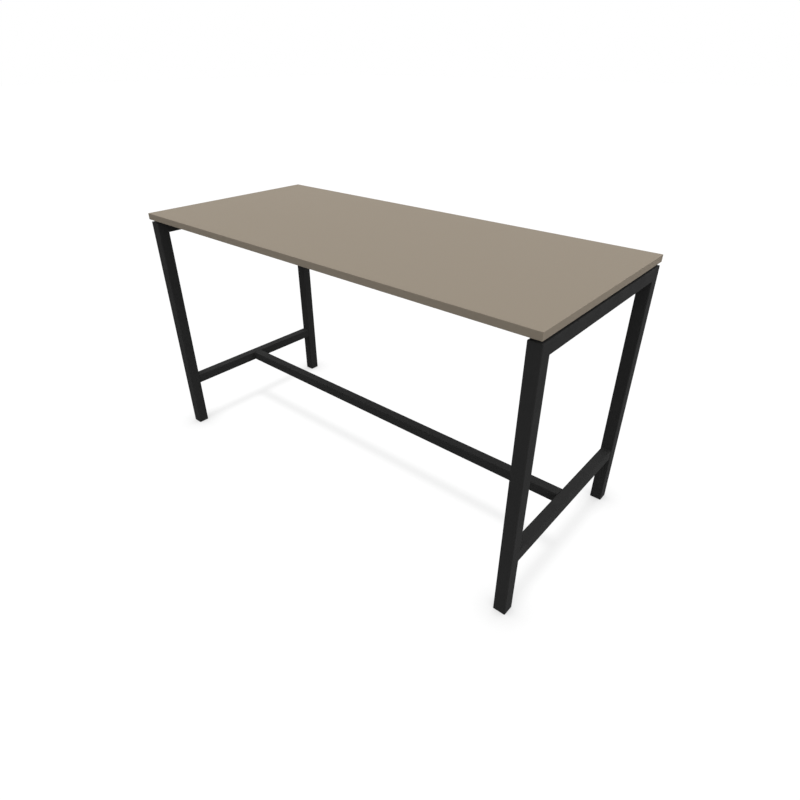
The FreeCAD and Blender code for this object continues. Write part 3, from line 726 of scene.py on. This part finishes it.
def thread(major, pitch, low, high, chamfer=0.0):
    """A right-hand V thread about the Z axis, closed at both ends and chamfered at its upper one."""
    bm = bmesh.new()
    crest = major / 2
    root = crest - THREAD_DEPTH * pitch
    rise, fall = [share * pitch for share in THREAD_CREST]
    start = low - pitch
    points = [(root, start), (crest, start + rise), (crest, start + fall), (root, start + pitch)]
    turns = math.ceil((high - low) / pitch) + 1
    spin(bm, points, THREAD_STEPS * turns, turns, pitch)
    bmesh.ops.remove_doubles(bm, verts=bm.verts, dist=SAME_PLACE)
    for height, way in ((low, -UP), (high, UP)):
        bmesh.ops.edgenet_fill(bm, edges=cut_off(bm, (0, 0, height), way))
    for vert in bm.verts:
        limit = crest - max(0, vert.co.z - (high - chamfer))
        reach = math.hypot(vert.co.x, vert.co.y)
        if reach > limit:
            vert.co.x *= limit / reach
            vert.co.y *= limit / reach
    clean(bm)
    return bm


def finish_screw(bm, recess, ring, head, neck, tall, settings):
    """Closes a screw's head and its recess, and adds the plain neck and the M6 thread."""
    radius = settings.screw_thread / 2
    ring = extend_through(bm, ring, [(radius, head), (radius, head + neck)])
    close(bm, recess, ring)
    turns = thread(settings.screw_thread, settings.screw_pitch, head + neck, tall, settings.screw_tip)
    return join(bm, turns)


def weld_bead(start, end, settings):
    """A weld bead between two points, with the ripples that the torch leaves."""
    run = end - start
    rings = 2 * max(2, round(run.length / settings.ripple))
    bm = bmesh.new()
    turned = Matrix.Translation(start) @ run.to_track_quat("Z", "Y").to_matrix().to_4x4()
    size = BEAD_ENDS[0]
    edges = circle(bm, size * settings.bead, BEAD_SIDES, turned, capped=True)[1]
    for number in range(1, rings + 1):
        verts, edges = extrude(bm, edges)
        bmesh.ops.translate(bm, vec=run / rings, verts=verts)
        ends = min(number, rings - number)
        wanted = BEAD_ENDS[ends] if ends < len(BEAD_ENDS) else (BEAD_DIP if number % 2 else 1)
        centre = start + run * number / rings
        bmesh.ops.scale(bm, vec=[wanted / size] * 3, verts=verts, space=Matrix.Translation(-centre))
        size = wanted
    close(bm, edges)
    return bm


def end_beads(node, along, settings, flush=None):
    """Weld beads along the sides of a level square tube's ends, but for one that looks along flush."""
    low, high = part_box(node)
    centre = (low + high) / 2
    half = (high.z - low.z) / 2
    parts = []
    for end, inward in ((low, along), (high, -along)):
        point = centre + along * (end - centre).dot(along)
        side = Vector((inward.y, inward.x, 0))
        other = inward.cross(side)
        for way, run in ((side, other), (-side, other), (other, side), (-other, side)):
            if flush is None or way.dot(flush) < ALIGNED:
                spot = point + way * half
                reach = run * (half - BEAD_TRIM * settings.bead)
                parts.append(weld_bead(spot - reach, spot + reach, settings))
    return parts


def add_tube(node, axis, settings, holes=(), mitres=()):
    """Puts a square tube in the place of a CAD node."""
    low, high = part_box(node)
    bm = square_tube(low, high, axis, settings, holes, mitres)
    add_piece(f"{node}_tube", bm, "frame_coat", stands_for=[node])


def fixing_holes(low, high, settings):
    """Holes of a rail or beam for the board's screws: small above, wide below."""
    holes = []
    for box in solids("top_spacers"):
        spot = middle(box)
        if low.x < spot.x < high.x and low.y < spot.y < high.y:
            holes.append((Vector((spot.x, spot.y, high.z)), UP, settings.screw_hole))
            holes.append((Vector((spot.x, spot.y, low.z)), -UP, settings.driver_hole))
    return holes


# ---- operators


class TABLE_OT_board(bpy.types.Operator):
    """Melamine-faced board"""

    bl_idname = "table.board"
    bl_label = "Board"

    def execute(self, context):
        finish_nodes("top_laminate", "tabletop_panel")
        return {"FINISHED"}


class TABLE_OT_edge_bands(bpy.types.Operator):
    """Edge bands round the board, with a rounded arris"""

    bl_idname = "table.edge_bands"
    bl_label = "Edge bands"

    def execute(self, context):
        for name in (*ROWS, *SIDES):
            node = f"{name}_edge_band"
            low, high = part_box(node)
            bm = block(low, high)
            thin = 0 if high.x - low.x < high.y - low.y else 1
            out = 1 if (low + high)[thin] > 0 else -1
            outer = next(face for face in bm.faces if face.normal[thin] * out > ALIGNED)
            if thin == 0:
                # The short bands end inside the long ones, so their ends stay square.
                edges = edges_along(outer.edges, 1)
            else:
                edges = outer.edges[:] + edges_along(bm.edges, thin)
            soften(bm, edges, context.scene.meeting_table.board.arris, steps=4)
            add_piece(f"{name}_band_strip", bm, "edge_band", stands_for=[node])
        return {"FINISHED"}


class TABLE_OT_legs(bpy.types.Operator):
    """Legs of square tube, mitred at the top"""

    bl_idname = "table.legs"
    bl_label = "Legs"

    def execute(self, context):
        for row, side in CORNERS:
            node = f"{row}_{side}_leg"
            low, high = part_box(node)
            y, out = (low.y, -1) if row == "front" else (high.y, 1)
            mitre = (Vector((0, y, high.z)), Vector((0, -out, 1)).normalized())
            add_tube(node, "z", context.scene.meeting_table.frame, mitres=[mitre])
        return {"FINISHED"}


class TABLE_OT_top_rails(bpy.types.Operator):
    """Top rails of the end frames, mitred into the legs and drilled for the board and the beams"""

    bl_idname = "table.top_rails"
    bl_label = "Top rails"

    def execute(self, context):
        settings = context.scene.meeting_table.frame
        for side in SIDES:
            node = f"{side}_top_rail"
            low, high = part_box(node)
            face, inward = (high.x, 1) if side == "left" else (low.x, -1)
            holes = fixing_holes(low, high, settings)
            for box in solids("beam_blind_nuts"):
                spot = middle(box)
                if low.x < spot.x < high.x:
                    holes.append((Vector((face, spot.y, spot.z)), Vector((inward, 0, 0)), settings.nut_hole))
            mitres = []
            for y, out in ((low.y, -1), (high.y, 1)):
                mitres.append((Vector((0, y, high.z)), Vector((0, out, -1)).normalized()))
            add_tube(node, "y", settings, holes, mitres)
        return {"FINISHED"}


class TABLE_OT_low_bars(bpy.types.Operator):
    """Lower rails of the end frames, and the footrest bar, drilled below for its screws"""

    bl_idname = "table.low_bars"
    bl_label = "Low bars"

    def execute(self, context):
        settings = context.scene.meeting_table.frame
        for side in SIDES:
            add_tube(f"{side}_lower_rail", "y", settings)
        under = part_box("footrest_bar")[0].z
        spots = [middle(box) for box in solids("footrest_screws")]
        holes = [(Vector((spot.x, spot.y, under)), -UP, settings.bar_hole) for spot in spots]
        add_tube("footrest_bar", "x", settings, holes)
        return {"FINISHED"}


class TABLE_OT_beams(bpy.types.Operator):
    """Beams under the board, drilled for its screws"""

    bl_idname = "table.beams"
    bl_label = "Beams"

    def execute(self, context):
        settings = context.scene.meeting_table.frame
        for row in ROWS:
            low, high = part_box(f"{row}_beam")
            add_tube(f"{row}_beam", "x", settings, fixing_holes(low, high, settings))
        return {"FINISHED"}


class TABLE_OT_weld_beads(bpy.types.Operator):
    """Weld beads where the tubes butt on each other and on the beams' plates"""

    bl_idname = "table.weld_beads"
    bl_label = "Weld beads"

    def execute(self, context):
        settings = context.scene.meeting_table.frame
        parts = []
        for side in SIDES:
            parts += end_beads(f"{side}_lower_rail", Vector((0, 1, 0)), settings)
        for row in ROWS:
            parts += end_beads(f"{row}_beam", Vector((1, 0, 0)), settings, flush=UP)
        trim = BEAD_TRIM * settings.bead
        for row, side in CORNERS:
            # The inner corner of a mitre.
            low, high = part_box(f"{row}_{side}_leg")
            y = high.y if row == "front" else low.y
            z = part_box(f"{side}_top_rail")[0].z
            parts.append(weld_bead(Vector((low.x + trim, y, z)), Vector((high.x - trim, y, z)), settings))
        add_piece("weld_beads", join(*parts), "frame_coat")
        return {"FINISHED"}


class TABLE_OT_beam_bolts(bpy.types.Operator):
    """Hexagon bolts that hold the beams' plates to the top rails"""

    bl_idname = "table.beam_bolts"
    bl_label = "Beam bolts"

    def execute(self, context):
        settings = context.scene.meeting_table.fixings
        boxes = solids("beam_bolts")
        low, high = boxes[0]
        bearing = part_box("front_left_beam_plate")[1].x
        flats = min(high.y - low.y, high.z - low.z)
        # The head stands on its bearing face at height 0, and the shank hangs below it.
        bolt = join(
            hex_body(flats, settings.washer_face, high.x - bearing, chamfer_below=False),
            rod(WASHER_FACE * flats / 2, 0, settings.washer_face + SUNK),
            rod(settings.bolt_thread / 2, -settings.bolt_shank, 2 * SUNK),
            thread(settings.bolt_thread, settings.bolt_pitch, low.x - bearing, -settings.bolt_shank),
        )
        places = []
        for box in boxes:
            spot = middle(box)
            out = 1 if spot.x > 0 else -1
            turn = Matrix.Rotation(-out * math.pi / 2, 4, "Y")
            places.append(Matrix.Translation((-out * bearing, spot.y, spot.z)) @ turn)
        add_piece("beam_bolt_set", repeat(bolt, places), "zinc_plate", stands_for=["beam_bolts"])
        return {"FINISHED"}


class TABLE_OT_spacers(bpy.types.Operator):
    """Round spacers that make the shadow gap under the board"""

    bl_idname = "table.spacers"
    bl_label = "Spacers"

    def execute(self, context):
        settings = context.scene.meeting_table.fixings
        radius, tall = measures(solids("top_spacers")[0])
        bore = settings.spacer_bore / 2
        spacer = spun([(bore, 0), (radius, 0), (radius, tall), (bore, tall)], WIDE_SEGMENTS, closed=True)
        soften(spacer, sharp_edges(spacer), settings.spacer_edge)
        add_set("spacer_set", spacer, "spacer_nylon", "top_spacers")
        return {"FINISHED"}


class TABLE_OT_top_screws(bpy.types.Operator):
    """Pan-head screws with a six-lobed recess, up through rails, beams and spacers"""

    bl_idname = "table.top_screws"
    bl_label = "Board screws"

    def execute(self, context):
        settings = context.scene.meeting_table.fixings
        radius, tall = measures(solids("top_screws")[0])
        mouth = settings.lobes / 2
        # The recess from its floor, then the pan from its top at height 0, with the thread above it.
        bm = bmesh.new()
        recess = start_ring(bm, RECESS_FLOOR * mouth, settings.lobes_depth, lobed)
        ring = extend(bm, recess, mouth, settings.lobes_sink, lobed)
        ring = extend(bm, ring, mouth + settings.lobes_rim, 0)
        ring = extend_through(bm, ring, [(radius - inset, height) for inset, height in PAN_PROFILE])
        ring = extend(bm, ring, radius, settings.pan_head)
        screw = finish_screw(bm, recess, ring, settings.pan_head, settings.pan_neck, tall, settings)
        add_set("board_screw_set", screw, "zinc_plate", "top_screws")
        return {"FINISHED"}


class TABLE_OT_footrest_screws(bpy.types.Operator):
    """Button-head socket screws under the footrest bar"""

    bl_idname = "table.footrest_screws"
    bl_label = "Footrest screws"

    def execute(self, context):
        settings = context.scene.meeting_table.fixings
        box = solids("footrest_screws")[0]
        radius, tall = measures(box)
        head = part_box("footrest_bar")[0].z - box[0].z
        socket = settings.socket / 2
        flat = BUTTON_FLAT * socket
        bm = bmesh.new()
        recess = start_ring(bm, socket, settings.socket_depth, hexagon)
        ring = extend(bm, recess, socket, settings.socket_rim, hexagon)
        ring = extend(bm, ring, flat, 0)
        # Dome of the button, an arc from its flat to its rim.
        for part in range(1, BUTTON_STEPS + 1):
            turn = part / BUTTON_STEPS * math.pi / 2
            height = (head - settings.button_rim) * (1 - math.cos(turn))
            ring = extend(bm, ring, flat + (radius - flat) * math.sin(turn), height)
        ring = extend(bm, ring, radius, head)
        screw = finish_screw(bm, recess, ring, head, settings.button_neck, tall, settings)
        add_set("footrest_screw_set", screw, "black_oxide", "footrest_screws")
        return {"FINISHED"}


class TABLE_OT_plain_fixings(bpy.types.Operator):
    """Plates, spigots, inserts and blind nuts, whose plain shapes stay"""

    bl_idname = "table.plain_fixings"
    bl_label = "Plain fixings"

    def execute(self, context):
        finish_nodes("frame_coat", *[f"{row}_{side}_beam_plate" for row, side in CORNERS])
        finish_nodes("frame_coat", *[f"{foot}_plate" for foot in FEET])
        finish_nodes("bare_steel", "left_footrest_spigot", "right_footrest_spigot")
        finish_nodes("zinc_plate", "top_inserts", "beam_blind_nuts")
        return {"FINISHED"}


class TABLE_OT_levelling_nuts(bpy.types.Operator):
    """Hexagon nuts welded under the foot plates"""

    bl_idname = "table.levelling_nuts"
    bl_label = "Levelling nuts"

    def execute(self, context):
        low, high = solids("levelling_nuts")[0]
        wide, deep, tall = high - low
        nut = hex_body(min(wide, deep), 0, tall, context.scene.meeting_table.feet.nut_bore)
        turn = Matrix.Rotation(math.pi / 6 if wide > deep + SAME_PLACE else 0, 4, "Z")
        add_set("levelling_nut_set", nut, "frame_coat", "levelling_nuts", turn=turn)
        return {"FINISHED"}


class TABLE_OT_foot_stems(bpy.types.Operator):
    """Threaded stems of the levelling feet, with spanner collar and disc head"""

    bl_idname = "table.foot_stems"
    bl_label = "Foot stems"

    def execute(self, context):
        feet = context.scene.meeting_table.feet
        for foot in FEET:
            low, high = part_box(f"{foot}_stem")
            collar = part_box(f"{foot}_pad")[1].z + feet.collar_gap - low.z
            head, neck, top = feet.head / 2, feet.neck / 2, feet.head_height
            base = spun([
                (0, 0), (head - feet.head_foot, 0), (head, feet.head_foot), (head, top - feet.head_top),
                (head - feet.head_top, top), (neck, top), (neck, collar), (0, collar),
            ])
            start = collar + feet.collar
            stem = join(
                base,
                hex_body(feet.flats, collar, start),
                thread(feet.thread, feet.pitch, start, high.z - low.z, feet.tip),
            )
            add_set(f"{foot}_screw_stem", stem, "zinc_plate", f"{foot}_stem", f"{foot}_screw")
        return {"FINISHED"}


class TABLE_OT_foot_pads(bpy.types.Operator):
    """Pads of the levelling feet, in which the stems turn"""

    bl_idname = "table.foot_pads"
    bl_label = "Foot pads"

    def execute(self, context):
        feet = context.scene.meeting_table.feet
        crown = feet.crown / 2
        bore = feet.neck / 2 + feet.play
        hollow = feet.head / 2 + feet.play
        roof = feet.sole + feet.head_height + 2 * feet.play
        for foot in FEET:
            radius, tall = measures(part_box(f"{foot}_pad"))
            outline = [
                (0, 0), (radius - feet.rim_edge, 0), (radius, feet.rim_edge), (radius, feet.rim),
                (crown, tall), (bore, tall), (bore, roof), (hollow, roof), (hollow, feet.sole),
                (0, feet.sole),
            ]
            pad = spun(outline, WIDE_SEGMENTS)
            upper = [e for e in sharp_edges(pad) if e.verts[0].co.z > feet.rim - SAME_PLACE]
            worn = [e for e in upper if e.verts[0].co.xy.length > crown - SAME_PLACE]
            soften(pad, worn, feet.rim_round)
            add_set(f"{foot}_pad_moulding", pad, "foot_nylon", f"{foot}_pad", f"{foot}_base")
        return {"FINISHED"}


class TABLE_OT_studio(bpy.types.Operator):
    """Plain pale floor, soft light and the camera"""

    bl_idname = "table.studio"
    bl_label = "Studio"

    def execute(self, context):
        scene = context.scene
        studio = scene.meeting_table.studio
        scene.view_settings.view_transform = "Standard"
        floor = self.add_floor(studio)
        self.add_light(scene, studio, floor)
        self.add_world(scene, studio)
        self.add_camera(scene, studio)
        return {"FINISHED"}

    def rays(self, tree):
        """What shows the backdrop: 1 for rays from the camera, and 1 for rays off gloss or through glass."""
        path = add_node(tree, "ShaderNodeLightPath").outputs
        either = {0: path["Is Glossy Ray"], 1: path["Is Transmission Ray"]}
        gloss = add_node(tree, "ShaderNodeMath", {"operation": "MAXIMUM"}, either)
        return path["Is Camera Ray"], gloss.outputs[0]

    def add_floor(self, studio):
        """A wide pale floor that shows white and keeps the soft shadows of what stands on it: real ones from
        the lights in its paint, and a painted shadow round the feet.
        """
        bm = bmesh.new()
        bmesh.ops.create_grid(bm, x_segments=1, y_segments=1, size=studio.floor)
        floor = new_object("studio_floor", bm)
        material = bpy.data.materials.new("pale_floor")
        tree = empty_tree(material)
        camera, gloss = self.rays(tree)
        paint = add_node(tree, "ShaderNodeBsdfDiffuse", {"Color": (*studio.floor_colour, 1)})
        # Painted shadow: the white that the camera sees dims a little round the feet, by how much of the
        # nearby sky they hide (ambient occlusion).
        near = {"samples": 8, "Distance": studio.foot_reach}
        open_sky = add_node(tree, "ShaderNodeAmbientOcclusion", near).outputs["AO"]
        least = studio.floor_white * (1 - studio.foot_painted_shadow)
        dimmed = {"operation": "MULTIPLY_ADD", 1: studio.floor_white - least, 2: least}
        dim = add_node(tree, "ShaderNodeMath", dimmed, {0: open_sky}).outputs[0]
        shown = add_node(tree, "ShaderNodeMath", {"operation": "MULTIPLY"}, {0: camera, 1: dim})
        share = {"operation": "MULTIPLY", 1: studio.gloss_white}
        glossed = add_node(tree, "ShaderNodeMath", share, {0: gloss})
        gate = add_node(tree, "ShaderNodeMath", None, {0: shown.outputs[0], 1: glossed.outputs[0]})
        white = add_node(tree, "ShaderNodeEmission", {"Color": (1, 1, 1, 1)}, {"Strength": gate.outputs[0]})
        both = add_node(tree, "ShaderNodeAddShader", None, {0: paint.outputs[0], 1: white.outputs[0]})
        add_node(tree, "ShaderNodeOutputMaterial", None, {"Surface": both.outputs[0]})
        floor.data.materials.append(material)
        # Feet that are screwed out press the floor down and never sink in.
        for foot in FEET:
            under = floor.constraints.new("FLOOR")
            under.target = frame["bodies"][f"{foot}_base"]
            under.floor_location = "FLOOR_NEGATIVE_Z"
        return floor

    def add_sun(self, scene, studio, name):
        """A light from far away, by the settings of its name."""
        lamp = bpy.data.lights.new(f"{name}_light", "SUN")
        lamp.energy = getattr(studio, name)
        lamp.angle = getattr(studio, f"{name}_spread")
        light = bpy.data.objects.new(f"{name}_light", lamp)
        light.rotation_euler = Vector(getattr(studio, f"{name}_from")).to_track_quat("Z", "Y").to_euler()
        scene.collection.objects.link(light)
        return light

    def add_light(self, scene, studio, floor):
        """One broad soft light from above, a weak one from the right and one straight down on the floor."""
        self.add_sun(scene, studio, "key")
        self.add_sun(scene, studio, "fill")
        contact = self.add_sun(scene, studio, "contact")
        # Only the floor takes it, and only the legs, the low bars and the pads shade it.
        lit = bpy.data.collections.new("contact_light_falls_on")
        lit.objects.link(floor)
        contact.light_linking.receiver_collection = lit
        low = bpy.data.collections.new("contact_light_stopped_by")
        for piece in scene.objects:
            if piece.name.endswith(LOW_PIECES):
                low.objects.link(piece)
        if not low.objects:
            raise RuntimeError("the studio is made after the legs, low bars and pads")
        contact.light_linking.blocker_collection = low

    def add_world(self, scene, studio):
        """An even world that shows white."""
        world = bpy.data.worlds.new("studio_world")
        tree = empty_tree(world)
        camera, gloss = self.rays(tree)
        seen = add_node(tree, "ShaderNodeMath", {"operation": "MAXIMUM"}, {0: camera, 1: gloss})
        even = add_node(tree, "ShaderNodeBackground", {"Color": (1, 1, 1, 1), "Strength": studio.ambient})
        white = add_node(tree, "ShaderNodeBackground", {"Color": (1, 1, 1, 1), "Strength": 1})
        blend = {0: seen.outputs[0], 1: even.outputs[0], 2: white.outputs[0]}
        mixed = add_node(tree, "ShaderNodeMixShader", None, blend)
        add_node(tree, "ShaderNodeOutputWorld", None, {"Surface": mixed.outputs[0]})
        scene.world = world

    def add_camera(self, scene, studio):
        """The camera, level from side to side and looking down on the table."""
        data = bpy.data.cameras.new("camera")
        data.sensor_width = 36
        data.lens = studio.lens
        data.clip_end = 200
        camera = bpy.data.objects.new("camera", data)
        camera.location = studio.camera
        camera.rotation_euler = studio.aim
        scene.collection.objects.link(camera)
        scene.camera = camera


PIECES = (
    TABLE_OT_board,
    TABLE_OT_edge_bands,
    TABLE_OT_legs,
    TABLE_OT_top_rails,
    TABLE_OT_low_bars,
    TABLE_OT_beams,
    TABLE_OT_weld_beads,
    TABLE_OT_beam_bolts,
    TABLE_OT_spacers,
    TABLE_OT_top_screws,
    TABLE_OT_footrest_screws,
    TABLE_OT_plain_fixings,
    TABLE_OT_levelling_nuts,
    TABLE_OT_foot_stems,
    TABLE_OT_foot_pads,
    TABLE_OT_studio,
)


class TABLE_PT_pieces(bpy.types.Panel):
    """Lists the pieces and their settings"""

    bl_idname = "TABLE_PT_pieces"
    bl_label = "Standing meeting table"
    bl_space_type = "VIEW_3D"
    bl_region_type = "UI"
    bl_category = "Table"

    def draw(self, context):
        for piece in PIECES:
            self.layout.operator(piece.bl_idname)
        table = context.scene.meeting_table
        for group in ("board", "frame", "fixings", "feet", "studio"):
            box = self.layout.box()
            box.label(text=group.capitalize())
            settings = getattr(table, group)
            for name in settings.__annotations__:
                box.prop(settings, name)


CLASSES = (
    BoardSettings, FrameSettings, FixingSettings, FootSettings, StudioSettings, TableSettings,
    *PIECES, TABLE_PT_pieces,
)


def register():
    """Adds the table's settings, operators and panel to Blender."""
    for cls in CLASSES:
        bpy.utils.register_class(cls)
    bpy.types.Scene.meeting_table = PointerProperty(type=TableSettings)


def unregister():
    """Takes the table's settings, operators and panel out of Blender."""
    del bpy.types.Scene.meeting_table
    for cls in reversed(CLASSES):
        bpy.utils.unregister_class(cls)


def main():
    """Makes every piece in order."""
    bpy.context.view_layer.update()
    register()
    for piece in PIECES:
        getattr(bpy.ops.table, piece.bl_idname.split(".")[1])()


if __name__ == "__main__":
    main()
